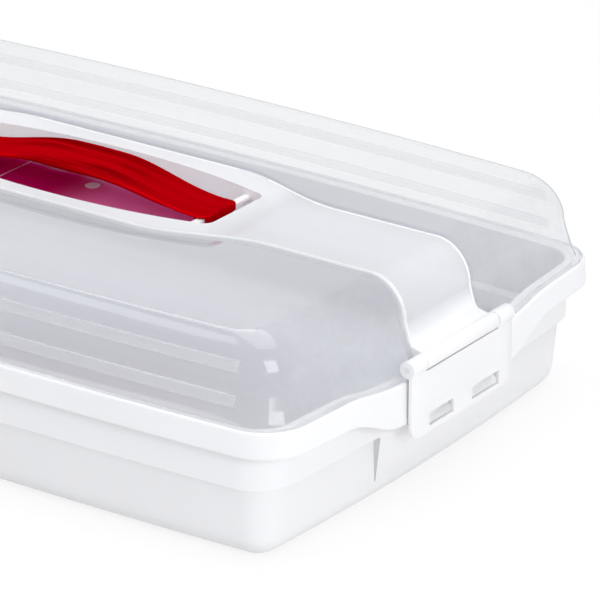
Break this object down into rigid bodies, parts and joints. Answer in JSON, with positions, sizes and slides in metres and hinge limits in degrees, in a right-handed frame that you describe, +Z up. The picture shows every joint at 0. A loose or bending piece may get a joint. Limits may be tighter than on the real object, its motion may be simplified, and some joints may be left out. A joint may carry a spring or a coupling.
{
  "type": "cake carrier",
  "caption": "Rectangular cake carrier with a white tray, a clear dome lid that tilts open, a carry band with an arched handle, and hinged clips at the ends.",
  "frame": {"origin": "middle of the flat underside", "axes": "+X along the length to the front clip, +Y across the width, +Z up"},
  "size_m": [0.4594, 0.295, 0.1184],
  "materials": {
    "tray_white": "satin white",
    "dome_clear": "clear, glossy",
    "band_milky": "milky, fine frost",
    "keeper_raspberry": "glossy",
    "handle_red": "glossy",
    "clip_milky": "milky",
    "pin_white": "satin"
  },
  "bodies": {
    "tray": {"base_tray": "tray_white"},
    "lid": {"lid_dome": "dome_clear", "carry_band": "band_milky", "handle_keeper": "keeper_raspberry"},
    "handle": {"carry_handle": "handle_red"},
    "front_catch": {"front_clip": "clip_milky", "front_hinge_pin": "pin_white"},
    "rear_catch": {"rear_clip": "clip_milky", "rear_hinge_pin": "pin_white"}
  },
  "joints": [
    {"name": "lid_tilt", "type": "hinge", "parent": "tray", "child": "lid", "pos_m": [-0.2255, 0, 0.0735], "axis": [0, -1, 0], "range_deg": [0, 75]},
    {"name": "front_clip_turn", "type": "hinge", "parent": "lid", "child": "front_catch", "pos_m": [0.2255, 0, 0.0735], "axis": [0, -1, 0], "range_deg": [0, 100]},
    {"name": "rear_clip_turn", "type": "hinge", "parent": "tray", "child": "rear_catch", "pos_m": [-0.2255, 0, 0.0735], "axis": [0, 1, 0], "range_deg": [0, 100]},
    {"name": "handle_lift", "type": "slide", "parent": "lid", "child": "handle", "axis": [0, 0, 1], "range_m": [0, 0.0015]}
  ]
}
